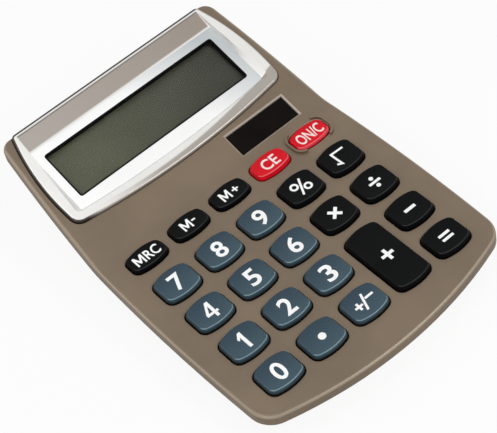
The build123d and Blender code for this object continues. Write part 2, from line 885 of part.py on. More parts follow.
with BuildPart() as case_screws:
    for across, y, base in case_screws_at:
        add(screw(Plane((across, y, base - seat_thickness)), seat_thickness + screw_bite))
finish(case_screws, "case_screws")

# Rubber feet, let into the floor
with BuildPart() as rubber_feet:
    with BuildSketch():
        with Locations(*feet_at):
            Circle(foot_radius - shell_gap)
    extrude(amount=foot_height + foot_sink)
    fillet(rubber_feet.edges().group_by(Axis.Z)[0], foot_round)
finish(rubber_feet, "rubber_feet")

# Battery cover: a round plate with a coin slot, a hub and two lugs that lock over the ledge
with BuildPart() as battery_cover:
    with BuildSketch(Plane.XY.offset(foot_height)):
        with Locations((battery_across, battery_y)):
            Circle(cover_radius)
    extrude(amount=cover_thickness - stack_gap)
    with BuildSketch(Plane.XY.offset(foot_height)):
        with Locations((battery_across, battery_y)):
            Circle(ledge_radius - cover_gap)
    extrude(amount=hub_top - stack_gap - foot_height)
    with BuildSketch(Plane.XY.offset(lug_floor)):
        with Locations((battery_across, battery_y)):
            Rectangle(2 * cover_radius, lug_width)
            Circle(cover_radius - cover_gap, mode=Mode.INTERSECT)
    extrude(amount=lug_thickness)
    with BuildSketch(Plane.XY.offset(foot_height)):
        with Locations((battery_across, battery_y)):
            SlotOverall(coin_slot_length, coin_slot_width)
    extrude(amount=coin_slot_depth, mode=Mode.SUBTRACT)
finish(battery_cover, "battery_cover")

# Button cell, standing on the cover's hub
with BuildPart() as battery_cell:
    with BuildSketch(Plane.XY.offset(cell_base)):
        with Locations((battery_across, battery_y)):
            Circle(cell_radius)
    extrude(amount=cell_height)
    fillet(battery_cell.edges(), cell_round)
finish(battery_cell, "battery_cell")

# Contacts: one against the cell's side, one folded over its top, each with a tail above the housing
tail_top = housing_top + tail_length
plus_y = battery_y + cell_radius + stack_gap
with BuildPart() as battery_contact_plus:
    with BuildSketch(Plane.XY.offset(cell_base)):
        with Locations((battery_across, plus_y + contact_thickness / 2)):
            Rectangle(contact_width, contact_thickness)
    extrude(amount=housing_top - cell_base)
    with BuildSketch(Plane.XY.offset(housing_top)):
        with Locations((battery_across, plus_y + contact_thickness / 2)):
            Rectangle(tail_width, contact_thickness)
    extrude(amount=tail_length)
finish(battery_contact_plus, "battery_contact_plus")

minus_y = battery_y - cup_radius - contact_thickness
with BuildPart() as battery_contact_minus:
    with BuildSketch(Plane.XY.offset(cell_top + stack_gap)):
        with Locations((battery_across, (minus_y + battery_y) / 2)):
            Rectangle(contact_width, battery_y - minus_y)
    extrude(amount=contact_thickness)
    with BuildSketch(Plane.XY.offset(cell_top + stack_gap)):
        with Locations((battery_across, minus_y + contact_thickness / 2)):
            Rectangle(tail_width, contact_thickness)
    extrude(amount=tail_top - cell_top - stack_gap)
finish(battery_contact_minus, "battery_contact_minus")


def wire(side, route, radii):
    """A round wire along a route in the upright plane at a place across, with rounded corners."""
    with BuildPart() as lead:
        with BuildLine(Plane.YZ.offset(side)) as line:
            FilletPolyline(*route, radius=radii)
        with BuildSketch(Plane(origin=line.line @ 0, z_dir=line.line % 0)):
            Circle(wire_radius)
        sweep()
    return lead.part


# Wires from the solar cell, down behind the board's edge and up to its underside
with BuildPart() as solar_wires:
    for side in (-1, 1):
        add(
            wire(
                solar_centre_across + side * wire_pitch / 2,
                [
                    profile_point(display, solar_wire_up, solar_cell_depth),
                    profile_point(display, solar_wire_up, solar_cell_depth + solar_wire_drop),
                    profile_point(keyboard, -wire_landing, board_top + board_thickness + wire_drop),
                    profile_point(keyboard, -wire_landing, board_top + board_thickness),
                ],
                wire_bend,
            )
        )
finish(solar_wires, "solar_wires")

# Wires from the battery contacts' tails to the board's underside
wire_floor = profile_point(keyboard, -wire_landing, board_top + board_thickness + wire_drop)[1]
with BuildPart() as battery_wires:
    for side, tail_y in ((-1, minus_y), (1, plus_y)):
        add(
            wire(
                battery_across + side * wire_pitch / 2,
                [
                    (tail_y, tail_top - wire_radius),
                    (battery_y - housing_radius - wire_bend, tail_top - wire_radius),
                    (bend_y + wire_bend, wire_floor),
                    profile_point(keyboard, -wire_landing, board_top + board_thickness + wire_drop),
                    profile_point(keyboard, -wire_landing, board_top + board_thickness),
                ],
                wire_bend,
            )
        )
finish(battery_wires, "battery_wires")

# Key caps: a tapered, dished top, a hollow skirt through the deck, tabs under it and a stem
tab_depth = skin + key_rest_gap + tab_thickness
for name, column, row, cap in keys:
    across, up = spots[name]
    seat = place(keyboard, across, up)
    half_length = cap.middle / 2
    dish_radius = ((half_length + dish_margin) ** 2 + dish_depth**2) / (2 * dish_depth)
    with BuildPart() as key:
        with BuildSketch(seat):
            add(cap.outline(0))
        with BuildSketch(seat.offset(cap.rise)):
            add(cap.outline(-top_inset))
        loft(ruled=True)
        with BuildSketch(Plane(origin=seat.origin, x_dir=seat.y_dir, z_dir=seat.x_dir)):
            with Locations((0, cap.rise - dish_depth + dish_radius)):
                Circle(dish_radius)
        extrude(amount=digit_width, both=True, mode=Mode.SUBTRACT)
        top = key.faces().sort_by(Axis(seat.origin, seat.z_dir))[-1]
        fillet(top.edges(), key_edge_round)
        with BuildSketch(seat):
            add(cap.outline(0))
        extrude(amount=-tab_depth)
        with BuildSketch(seat.offset(-tab_depth)):
            Rectangle(digit_width + 2 * tab_reach, tab_length)
        extrude(amount=tab_thickness)
        with BuildSketch(seat.offset(-tab_depth)):
            add(cap.outline(-key_wall))
        extrude(amount=tab_depth + cap.rise - dish_depth - key_roof, mode=Mode.SUBTRACT)
        with BuildSketch(seat.offset(-stem_depth)):
            with Locations(*[(0, stem) for stem in cap.stems]):
                Circle(stem_radius)
        extrude(amount=stem_depth + cap.rise - dish_depth - key_roof / 2)
    finish(key, name)
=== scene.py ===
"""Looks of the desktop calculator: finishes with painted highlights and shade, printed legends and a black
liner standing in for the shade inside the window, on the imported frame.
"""

import json
import logging
import math
from dataclasses import dataclass
from enum import Enum

import bmesh
import bpy
import numpy as np
from mathutils import Euler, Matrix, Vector


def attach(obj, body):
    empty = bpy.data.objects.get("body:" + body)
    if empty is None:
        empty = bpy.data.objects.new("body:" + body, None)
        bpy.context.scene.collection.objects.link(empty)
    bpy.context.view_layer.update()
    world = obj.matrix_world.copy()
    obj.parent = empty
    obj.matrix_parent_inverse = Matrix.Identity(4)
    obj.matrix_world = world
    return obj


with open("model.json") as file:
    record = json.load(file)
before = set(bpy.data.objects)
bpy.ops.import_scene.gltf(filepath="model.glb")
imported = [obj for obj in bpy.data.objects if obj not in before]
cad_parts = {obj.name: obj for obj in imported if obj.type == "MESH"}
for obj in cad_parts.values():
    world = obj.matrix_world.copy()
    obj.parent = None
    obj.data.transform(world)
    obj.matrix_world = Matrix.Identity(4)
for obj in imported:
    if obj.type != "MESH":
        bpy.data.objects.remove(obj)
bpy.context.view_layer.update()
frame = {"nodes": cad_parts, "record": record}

logging.basicConfig(level=logging.INFO, format="%(message)s")
log = logging.getLogger("calculator")

MM = 0.001
IMAGE_WIDTH = 497
ACROSS = Vector((1, 0, 0))
ORIGIN = Vector((0, 0, 0))
GRAIN_DETAIL = 3.0
GRAIN_SPAN = (0.3, 0.7)
CLOUD_DETAIL = 4.0
CLOUD_SPAN = (0.35, 0.65)

Colour = tuple[float, float, float, float]


def colour(code: str) -> Colour:
    """Turn a web colour into the linear colour that a shader takes, by the sRGB curve.

    Args:
        code: Six hexadecimal digits, red first.

    Returns:
        Red, green, blue and alpha, each from 0 to 1.
    """
    parts = [int(code[i : i + 2], 16) / 255 for i in (0, 2, 4)]
    linear = [p / 12.92 if p <= 0.04045 else ((p + 0.055) / 1.055) ** 2.4 for p in parts]
    return (*linear, 1.0)


class Nodes:
    """A node tree, built node by node."""

    def __init__(self, tree: bpy.types.NodeTree) -> None:
        """Start from an empty tree.

        Args:
            tree: The tree, which is cleared.
        """
        self.tree = tree
        self.tree.nodes.clear()

    def add(self, kind: str, **settings: object) -> bpy.types.Node:
        """Add a node.

        Args:
            kind: The node's type name.
            settings: Its attributes.

        Returns:
            The node.
        """
        node = self.tree.nodes.new(kind)
        for key, value in settings.items():
            setattr(node, key, value)
        return node

    def link(self, start: bpy.types.NodeSocket, end: bpy.types.NodeSocket) -> None:
        """Join an output to an input."""
        self.tree.links.new(start, end)

    def fill(self, sockets: object, values: tuple) -> None:
        """Give each input its value in turn: a socket is linked to it, anything else is set."""
        for socket, value in zip(sockets, values):
            if isinstance(value, bpy.types.NodeSocket):
                self.link(value, socket)
            else:
                socket.default_value = value

    def math(self, operation: str, *values: object) -> bpy.types.NodeSocket:
        """Add a sum of one or two values.

        Args:
            operation: What is done with them.
            values: Sockets or plain numbers.

        Returns:
            The result.
        """
        node = self.add("ShaderNodeMath", operation=operation)
        self.fill(node.inputs, values)
        return node.outputs[0]

    def cover(self, share: bpy.types.NodeSocket, *shaders: bpy.types.NodeSocket) -> bpy.types.NodeSocket:
        """Mix two shaders.

        Args:
            share: How much of the second.
            shaders: The first and the second.

        Returns:
            The mixed shader.
        """
        node = self.add("ShaderNodeMixShader")
        self.fill(node.inputs, (share, *shaders))
        return node.outputs["Shader"]


class Graph(Nodes):
    """A material's node tree with its Principled shader."""

    def __init__(self, name: str) -> None:
        """Start an empty material.

        Args:
            name: The material's name.
        """
        self.material = bpy.data.materials.new(name)
        self.material.use_nodes = True
        super().__init__(self.material.node_tree)
        self.output = self.add("ShaderNodeOutputMaterial")
        self.shader = self.add("ShaderNodeBsdfPrincipled")
        where = self.add("ShaderNodeTexCoord")
        self.place = where.outputs["Object"]
        self.normal = where.outputs["Normal"]
        self.link(self.shader.outputs["BSDF"], self.output.inputs["Surface"])

    def noise(self, size_mm: float, detail: float = 2.0, stretch: tuple = (1, 1, 1)) -> bpy.types.NodeSocket:
        """Add a noise of a real size.

        Args:
            size_mm: How large its blotches are.
            detail: How many finer layers it has.
            stretch: How its size changes along each axis.

        Returns:
            The factor, around 0.5.
        """
        turn = self.add("ShaderNodeMapping")
        turn.inputs["Scale"].default_value = [1 / s for s in stretch]
        self.link(self.place, turn.inputs["Vector"])
        node = self.add("ShaderNodeTexNoise")
        node.inputs["Scale"].default_value = 1 / (size_mm * MM)
        node.inputs["Detail"].default_value = detail
        self.link(turn.outputs["Vector"], node.inputs["Vector"])
        return node.outputs["Fac"]

    def spread(
        self, value: bpy.types.NodeSocket, source: tuple, target: tuple = (0, 1)
    ) -> bpy.types.NodeSocket:
        """Map a value from one range to another, held at the ends.

        Args:
            value: What is mapped.
            source: The range it comes in.
            target: The range it goes out in.

        Returns:
            The mapped value.
        """
        node = self.add("ShaderNodeMapRange")
        for key, number in zip(("From Min", "From Max", "To Min", "To Max"), (*source, *target)):
            node.inputs[key].default_value = number
        self.link(value, node.inputs["Value"])
        return node.outputs["Result"]

    def fade(self, value: bpy.types.NodeSocket, start_mm: float, end_mm: float) -> bpy.types.NodeSocket:
        """Rise from 0 to 1 while a distance in metres goes from one place to another."""
        return self.spread(value, (start_mm * MM, end_mm * MM))

    def mix(self, share: bpy.types.NodeSocket, low: object, high: object) -> bpy.types.NodeSocket:
        """Mix two colours.

        Args:
            share: How much of the second.
            low: The first, a colour or a socket.
            high: The second, a colour or a socket.

        Returns:
            The mixed colour.
        """
        node = self.add("ShaderNodeMix", data_type="RGBA")
        self.link(share, node.inputs[0])
        self.fill((node.inputs[6], node.inputs[7]), (low, high))
        return node.outputs[2]

    def step(self, value: bpy.types.NodeSocket, limit_mm: float, edge_mm: float) -> bpy.types.NodeSocket:
        """Rise softly from 0 to 1 where a distance passes a limit.

        Args:
            value: The distance, in metres.
            limit_mm: The limit.
            edge_mm: How soft the rise is; negative to fall from 1 to 0 instead.

        Returns:
            The share.
        """
        soft = abs(edge_mm)
        ends = (0, 1) if edge_mm > 0 else (1, 0)
        return self.spread(value, ((limit_mm - soft) * MM, (limit_mm + soft) * MM), ends)

    def bump(self, height: bpy.types.NodeSocket, depth_mm: float) -> None:
        """Raise the surface by a height.

        Args:
            height: The height, from 0 to 1.
            depth_mm: What 1 stands for.
        """
        node = self.add("ShaderNodeBump")
        node.inputs["Distance"].default_value = depth_mm * MM
        self.link(height, node.inputs["Height"])
        self.link(node.outputs["Normal"], self.shader.inputs["Normal"])

    def axis(self, direction: Vector, origin: Vector) -> bpy.types.NodeSocket:
        """Measure how far a point lies along a direction.

        Args:
            direction: A unit vector.
            origin: Where the measure starts, in metres.

        Returns:
            The distance in metres.
        """
        shift = self.vector("SUBTRACT", self.place, origin)
        return self.vector("DOT_PRODUCT", shift.outputs["Vector"], direction).outputs["Value"]

    def vector(self, operation: str, first: object, second: object) -> bpy.types.Node:
        """Add a vector sum; its result is in the output Vector, and a dot product's in Value."""
        node = self.add("ShaderNodeVectorMath", operation=operation)
        self.fill(node.inputs, (first, second))
        return node

    def facing(self) -> bpy.types.Node:
        """Split the surface's normal into its X, Y and Z."""
        node = self.add("ShaderNodeSeparateXYZ")
        self.link(self.normal, node.inputs[0])
        return node

    def leaning(self, rise: bpy.types.NodeSocket, flat: tuple, steep: tuple) -> bpy.types.NodeSocket:
        """Find the faces that neither lie flat nor stand upright.

        Args:
            rise: The Z of the surface's normal.
            flat: The rise from where to where a face turns flat.
            steep: The rise from where to where it stops being upright.

        Returns:
            The share, 1 on a leaning face.
        """
        return self.math("MULTIPLY", self.spread(rise, flat, (1, 0)), self.spread(rise, steep))


@dataclass(frozen=True)
class Finish:
    """A surface of two clouded colours with a fine grain."""

    low: str
    high: str
    roughness: tuple[float, float] = (0.4, 0.5)
    metallic: float = 0.0
    cloud_mm: float = 12.0
    grain_mm: float = 0.35
    grain_depth_mm: float = 0.006
    stretch: tuple[float, float, float] = (1.0, 1.0, 1.0)
    coat: float = 0.0
    coat_roughness: float = 0.1
    specular: float = 0.5
    clear: float = 0.0
    ior: float = 1.49

    def material(self, name: str) -> bpy.types.Material:
        """Build the finish as a material.

        Args:
            name: The material's name.

        Returns:
            The material.
        """
        graph = Graph(name)
        self.dress(graph)
        return graph.material

    def dress(self, graph: Graph) -> None:
        """Wire the finish into a material's graph."""
        graph.link(self.tone(graph), graph.shader.inputs["Base Color"])
        grain = graph.noise(self.grain_mm, GRAIN_DETAIL, self.stretch)
        rough = graph.spread(grain, GRAIN_SPAN, self.roughness)
        graph.link(rough, graph.shader.inputs["Roughness"])
        graph.bump(grain, self.grain_depth_mm)
        settings = {
            "Metallic": self.metallic,
            "Coat Weight": self.coat,
            "Coat Roughness": self.coat_roughness,
            "Specular IOR Level": self.specular,
            "Transmission Weight": self.clear,
            "IOR": self.ior,
        }
        for name, value in settings.items():
            graph.shader.inputs[name].default_value = value

    def tone(self, graph: Graph) -> bpy.types.NodeSocket:
        """Cloud the two colours into each other."""
        cloud = graph.noise(self.cloud_mm, CLOUD_DETAIL)
        return graph.mix(graph.spread(cloud, CLOUD_SPAN), colour(self.low), colour(self.high))


@dataclass(frozen=True)
class Deck:
    """One deck of the case, in millimetres from the bend: across, up its slope, out of it."""

    tilt: float
    bend_y: float = 19.288
    bend_z: float = 15.378

    @property
    def up(self) -> Vector:
        """The direction up the deck's slope."""
        lean = math.radians(self.tilt)
        return Vector((0, math.cos(lean), math.sin(lean)))

    @property
    def out(self) -> Vector:
        """The direction out of the deck."""
        lean = math.radians(self.tilt)
        return Vector((0, -math.sin(lean), math.cos(lean)))

    @property
    def bend(self) -> Vector:
        """The bend between the decks, in metres."""
        return Vector((0, self.bend_y, self.bend_z)) * MM

    def settle(self, points: np.ndarray) -> np.ndarray:
        """Carry points of the deck into the row frame: bend + across X + up U + out N.

        Args:
            points: Rows of across, up and out, in millimetres.

        Returns:
            Rows of X, Y and Z, in metres.
        """
        axes = np.array([(1, 0, 0), tuple(self.up), tuple(self.out)])
        return points @ axes * MM + np.array(self.bend)


KEYBOARD = Deck(3.0)
DISPLAY = Deck(18.0)
SCREEN_UP = 34.1
SCREEN_MIDDLE = DISPLAY.bend + DISPLAY.up * SCREEN_UP * MM
DISH_DEPTH = 0.3
DISH_MARGIN = 0.3


@dataclass(frozen=True)
class CasePaint(Finish):
    """Case plastic with painted highlights: a lighter tone on its rounded edges and in the solar window's
    chamfer.
    """

    # Painted highlight: the lighter tone on the rounded edges and round the key holes.
    edge: str = "9b8d7b"
    # Painted highlight: the lighter tone in the solar window's chamfer.
    chamfer_highlight: str = "bdb2a3"
    solar_across: float = 27.5
    solar_up: float = 5.5
    solar_half_width: float = 13.4
    solar_half_height: float = 5.25
    solar_edge: float = 0.05
    # Where the painted edge highlight lies: faces whose normal rises between these values.
    flat: tuple[float, float] = (0.88, 0.95)
    steep: tuple[float, float] = (0.2, 0.5)

    def tone(self, graph: Graph) -> bpy.types.NodeSocket:
        """Mix in a painted highlight on faces that tilt between flat and upright, and a lighter painted
        highlight round the solar window.
        """
        # Painted highlight on the rounded edges, where the face tilts.
        highlight_lean = graph.leaning(graph.facing().outputs["Z"], self.flat, self.steep)
        plain = graph.mix(highlight_lean, super().tone(graph), colour(self.edge))
        # Painted highlight in the solar window's chamfer.
        middle = DISPLAY.bend + DISPLAY.up * self.solar_up * MM
        across = graph.math("ABSOLUTE", graph.axis(ACROSS, Vector((self.solar_across * MM, 0, 0))))
        up = graph.math("ABSOLUTE", graph.axis(DISPLAY.up, middle))
        chamfer_highlight_mask = graph.math(
            "MULTIPLY",
            graph.step(across, self.solar_half_width, -self.solar_edge),
            graph.step(up, self.solar_half_height, -self.solar_edge),
        )
        return graph.mix(chamfer_highlight_mask, plain, colour(self.chamfer_highlight))


@dataclass(frozen=True)
class BezelPaint(Finish):
    """Silver paint with painted reflections and shade: a taupe painted reflection on the slope behind the
    window, painted shade where the rim turns down, and painted shade in the crease and along the rear and
    left edges.
    """

    # Painted reflection: the taupe tone of the silver slope behind the window.
    slope: str = "b3aba3"
    # Painted shade: the slope's reflection darkens towards the right.
    slope_right_shade: str = "9c9187"
    # Painted shade in the crease where the slope meets the crest.
    line: str = "544d45"
    crease_shade_mm: float = 0.4
    # Painted shade: the dark tone of the rear outer edge and the left outer wall, standing for the gap's
    # shade.
    rear: str = "3a352f"
    # Painted shade: the duller grey where the rim turns away from the window and down.
    turned_rim_shade: str = "afa9a1"
    shade_left: tuple[float, float] = (-36.0, -41.0)
    # The bowed front band that takes the painted shade.
    band_foot: float = -19.3
    band_lean: float = 0.03
    band_bow: float = 0.00256
    band_edge: float = 0.35
    band_left: tuple[float, float] = (-34.0, -10.0)
    # The faces turned away from the window that take the painted shade.
    squeeze: float = 0.3
    turns: float = 5.5
    turn_edge: float = 2.5
    starts: float = 14.3
    ends: float = 21.0
    # Past the crest, the rear outer edge takes the painted shade.
    crest: float = 21.6
    half: float = 40.0
    edge: float = 0.3
    shade_edge: float = 0.1

    def tone(self, graph: Graph) -> bpy.types.NodeSocket:
        """Mix in the painted reflection on the slope, painted shade on the turned-down walls, and painted
        shade at the rear, on the left and in the crease, by where on the display a point lies.
        """
        up = graph.axis(DISPLAY.up, DISPLAY.bend)
        sideways = graph.axis(ACROSS, ORIGIN)
        # The slope band behind the window, where the darker reflection is painted.
        share = graph.step(up, SCREEN_UP + self.starts, self.edge)
        for value, limit in ((up, SCREEN_UP + self.ends), (graph.math("ABSOLUTE", sideways), self.half)):
            share = graph.math("MULTIPLY", share, graph.step(value, limit, -self.edge))
        # Painted shade on faces turned away from the window and on the bowed front.
        outward_shade_mask = self.outward_shade_mask(graph)
        low = graph.math("MAXIMUM", outward_shade_mask, self.front(graph, up, sideways))
        silver = graph.mix(low, super().tone(graph), colour(self.turned_rim_shade))
        # Painted shade on the left outer wall and, past the crest, on the rear outer edge.
        left = graph.math("MULTIPLY", outward_shade_mask, graph.fade(sideways, *self.shade_left))
        rear_and_left_shade = graph.math("MAXIMUM", left, graph.step(up, SCREEN_UP + self.crest, self.shade_edge))
        silver = graph.mix(rear_and_left_shade, silver, colour(self.rear))
        # Painted shade: the slope's painted reflection darkens towards the right.
        right = graph.fade(sideways, -self.half, self.half)
        slope = graph.mix(right, colour(self.slope), colour(self.slope_right_shade))
        # Painted shade: a dark line in the crease at the slope's upper edge.
        line = graph.step(up, SCREEN_UP + self.ends - self.crease_shade_mm, self.shade_edge)
        return graph.mix(share, silver, graph.mix(line, slope, colour(self.line)))

    def front(
        self, graph: Graph, up: bpy.types.NodeSocket, across: bpy.types.NodeSocket
    ) -> bpy.types.NodeSocket:
        """The mask of painted shade on the bowed front: rise from 0 to 1 on its outer half, fading out at
        its left end.
        """
        bow = graph.math("MULTIPLY", graph.math("MULTIPLY", across, across), self.band_bow / MM)
        leant = graph.math("ADD", bow, graph.math("MULTIPLY", across, self.band_lean))
        flat = graph.math("SUBTRACT", up, leant)
        band = graph.step(flat, SCREEN_UP + self.band_foot, -self.band_edge)
        return graph.math("MULTIPLY", band, graph.fade(across, *self.band_left))

    def outward_shade_mask(self, graph: Graph) -> bpy.types.NodeSocket:
        """The mask of painted shade: rise from 0 to 1 where the face turns away from the window's middle,
        down to the deck.
        """
        shift = graph.vector("SUBTRACT", graph.place, SCREEN_MIDDLE)
        narrow = graph.vector("MULTIPLY", shift.outputs["Vector"], (self.squeeze, 1, 1))
        facing = graph.vector("DOT_PRODUCT", narrow.outputs["Vector"], graph.normal)
        return graph.step(facing.outputs["Value"], self.turns, self.turn_edge)


@dataclass(frozen=True)
class PlatePaint(Finish):
    """Bright paint with painted shade that greys it towards the rear right corner of the display."""

    # Painted shade: the grey tone at the rear right corner.
    far: str = "c3c9cb"
    starts: float = 6.0
    ends: float = 34.0
    lean: tuple[float, float] = (0.82, 0.57)

    def tone(self, graph: Graph) -> bpy.types.NodeSocket:
        """Mix by how far a point lies across and up from the middle of the window."""
        across, up = self.lean
        way = graph.axis(Vector((across, 0, 0)) + DISPLAY.up * up, SCREEN_MIDDLE)
        # Painted shade rising towards the rear right corner.
        share = graph.fade(way, self.starts, self.ends)
        return graph.mix(share, super().tone(graph), colour(self.far))


@dataclass(frozen=True)
class KeyPaint(Finish):
    """Key plastic with a painted highlight on its front edge, painted shade darker to the rear of each row,
    and painted shade down into its hole.
    """

    # Painted shade towards the rear of each row.
    rear: str = "050506"
    # Painted highlight on the front edge.
    shine: str = "7d95a1"
    # Painted shade low on the key and down into its hole.
    foot: str = "050506"
    # Heights over the deck across which the painted shade in the hole fades out.
    starts: float = 0.1
    ends: float = 1.2
    pitch_mm: float = 16.5
    row_mm: float = -25.0
    # Where up each row the painted rear shade rises.
    rearward: tuple[float, float] = (0.15, 0.85)
    # Where the painted highlight lies: tilted faces that face the front.
    flat: tuple[float, float] = (0.9, 0.97)
    steep: tuple[float, float] = (0.35, 0.6)
    ahead: tuple[float, float] = (-0.1, -0.25)

    def tone(self, graph: Graph) -> bpy.types.NodeSocket:
        """Mix in painted shade towards the rear of every row, a painted highlight on the front edge and
        painted shade low on the key.
        """
        front = KEYBOARD.bend + KEYBOARD.up * (self.row_mm - self.pitch_mm / 2) * MM
        # Painted shade: each key darkens towards the rear of its row.
        rows = graph.math("DIVIDE", graph.axis(KEYBOARD.up, front), self.pitch_mm * MM)
        up = graph.spread(graph.math("FRACT", rows), self.rearward)
        face = graph.mix(up, super().tone(graph), colour(self.rear))
        normal = graph.facing()
        # Painted highlight on the tilted, front-facing edge.
        highlight_lean = graph.leaning(normal.outputs["Z"], self.flat, self.steep)
        lit = graph.math("MULTIPLY", highlight_lean, graph.spread(normal.outputs["Y"], self.ahead))
        face = graph.mix(lit, face, colour(self.shine))
        # Painted shade: near black low on the key and down into its hole.
        out = graph.axis(KEYBOARD.out, KEYBOARD.bend)
        return graph.mix(graph.fade(out, self.starts, self.ends), colour(self.foot), face)


@dataclass(frozen=True)
class FilmTint(Finish):
    """Grey-green film of the display, with painted shade that darkens it a little towards its right end."""

    # Painted shade: the darker tone at the right end.
    right: str = "40403a"
    half: float = 37.0

    def tone(self, graph: Graph) -> bpy.types.NodeSocket:
        """Mix by how far across a point lies."""
        # Painted shade rising towards the right end.
        share = graph.fade(graph.axis(ACROSS, ORIGIN), -self.half, self.half)
        return graph.mix(share, super().tone(graph), colour(self.right))


@dataclass(frozen=True)
class SolarStripes(Finish):
    """Dark cells with thin lighter lines between them."""

    line: str = "3a2a20"
    pitch_mm: float = 5.1
    line_share: float = 0.04
    centre_mm: float = 27.5
    fold: float = 0.5

    def tone(self, graph: Graph) -> bpy.types.NodeSocket:
        """Draw a line wherever the distance across passes a whole number of pitches."""
        across = graph.axis(ACROSS, Vector((self.centre_mm * MM, 0, 0)))
        wave = graph.math("PINGPONG", graph.math("DIVIDE", across, self.pitch_mm * MM), self.fold)
        share = graph.spread(wave, (self.fold - self.line_share, self.fold - self.line_share / 2))
        return graph.mix(share, super().tone(graph), colour(self.line))


@dataclass(frozen=True)
class BoardTraces(Finish):
    """Green board with lighter copper tracks under its lacquer."""

    track: str = "4f9a5c"
    pitch_mm: float = 2.4
    waves: float = 0.31
    wander: float = 3.0
    crest: tuple[float, float] = (0.62, 0.7)

    def tone(self, graph: Graph) -> bpy.types.NodeSocket:
        """Draw wandering bands where a bent wave is near its crest."""
        wave = graph.add("ShaderNodeTexWave", bands_direction="DIAGONAL")
        wave.inputs["Scale"].default_value = self.waves / (self.pitch_mm * MM)
        wave.inputs["Distortion"].default_value = self.wander
        graph.link(graph.place, wave.inputs["Vector"])
        share = graph.spread(wave.outputs["Fac"], self.crest)
        return graph.mix(share, super().tone(graph), colour(self.track))


FINISHES = {
    # Case plastic with painted highlights on its edges and in the solar chamfer.
    "case_plastic": CasePaint("786856", "81705c", (0.36, 0.46), metallic=0.25, cloud_mm=20.0),
    "base_plastic": Finish(
        "6f6355", "7a6c5d", (0.45, 0.58), metallic=0.2, cloud_mm=16.0, grain_depth_mm=0.015
    ),
    # Silver with a painted reflection on the slope and painted shade on its edges.
    "silver_paint": BezelPaint("eeedea", "f2f1ee", (0.28, 0.3), metallic=0.4, grain_depth_mm=0.0001),
    # Plate with painted shade towards its rear right corner.
    "bright_plate": PlatePaint("fafbfa", "fdfdfc", (0.28, 0.3), metallic=0.5, grain_depth_mm=0.0001),
    "clear_lens": Finish("f2f4f2", "f6f7f6", (0.02, 0.03), clear=1.0, grain_depth_mm=0.0001, ior=1.15),
    # Film with painted shade towards its right end.
    "film": FilmTint(
        "5d5e4d", "616251", (0.3, 0.36), cloud_mm=25.0, grain_depth_mm=0.001, specular=0.1
    ),
    "lcd": Finish("6d7062", "737667", (0.08, 0.12), cloud_mm=20.0, grain_depth_mm=0.001, coat=0.5),
    "white_plastic": Finish("d8d6cf", "e2e0d9", (0.45, 0.55)),
    "ribbon": Finish("b8863c", "c79548", (0.35, 0.45), stretch=(0.15, 8, 8), grain_mm=1.0, cloud_mm=6.0),
    "dark_lens": Finish(
        "0c0806", "120c09", (0.05, 0.09), cloud_mm=9.0, grain_depth_mm=0.0005, specular=0.06
    ),
    "solar": SolarStripes("140d0a", "1c130e", (0.15, 0.25)),
    "wire": Finish("a32622", "b52c27", (0.35, 0.45), grain_mm=0.6, cloud_mm=3.0),
    "board": BoardTraces("23603a", "2a6c42", (0.3, 0.4), coat=0.3, grain_depth_mm=0.01),
    "dome_rubber": Finish("8d9496", "9aa1a3", (0.6, 0.72), grain_depth_mm=0.01),
    "carbon": Finish("161616", "202020", (0.7, 0.85), cloud_mm=1.5, grain_depth_mm=0.02),
    "epoxy": Finish("0d0d0e", "161617", (0.18, 0.3), cloud_mm=4.0, grain_mm=1.5, grain_depth_mm=0.03),
    "screw_steel": Finish("a5a7a9", "b7b9bb", (0.25, 0.38), metallic=1.0, cloud_mm=1.0, grain_mm=0.15),
    "foot_rubber": Finish("2b2a2a", "363534", (0.75, 0.88), grain_depth_mm=0.02),
    "cell_steel": Finish("bcbdbb", "cdcecc", (0.18, 0.3), metallic=1.0, cloud_mm=3.0, grain_mm=0.2),
    "contact_metal": Finish("c9b48a", "d6c299", (0.25, 0.35), metallic=1.0, cloud_mm=1.5, stretch=(1, 1, 6)),
    # Keys: rear is painted shade to the rear of each row, shine is a painted highlight, and foot is painted
    # shade down into the hole.
    "key_blue": KeyPaint("3e5763", "435c68", (0.24, 0.3), rear="293f4d", cloud_mm=7.0, specular=0.3),
    "key_black": KeyPaint(
        "0e0f10", "111213", (0.24, 0.32), rear="0b0c0d", shine="303234", cloud_mm=7.0, specular=0.06
    ),
    "key_red": KeyPaint(
        "ee1024",
        "f4162a",
        (0.15, 0.22),
        rear="d80c1e",
        shine="ff6a74",
        foot="3a0306",
        starts=-0.9,
        ends=0.3,
        specular=0.15,
    ),
}
INK = {"cloud_mm": 3.0, "grain_mm": 0.2, "grain_depth_mm": 0.001}
INK_WHITE = Finish("f8f9f9", "fdfdfd", (0.45, 0.55), metallic=0.4, **INK)
INK_ROSE = Finish("fbe3e0", "fdeeec", (0.4, 0.5), metallic=0.3, **INK)
# Black of the liner that stands in for the shade inside the window's opening.
SHADE_LINER_BLACK = Finish("060606", "0b0b0b", (0.6, 0.75), cloud_mm=3.0, grain_depth_mm=0.003, specular=0.1)


@dataclass
class CadDressing:
    """Gives every CAD node the finish of its material slot."""

    def build(self) -> None:
        """Make each slot's material once and put it on the slot's nodes."""
        made = {name: finish.material(name) for name, finish in FINISHES.items()}
        for part in frame["record"]["subparts"]:
            node = frame["nodes"][part["node"]]
            node.data.materials.clear()
            node.data.materials.append(made[part["material_slot"]])


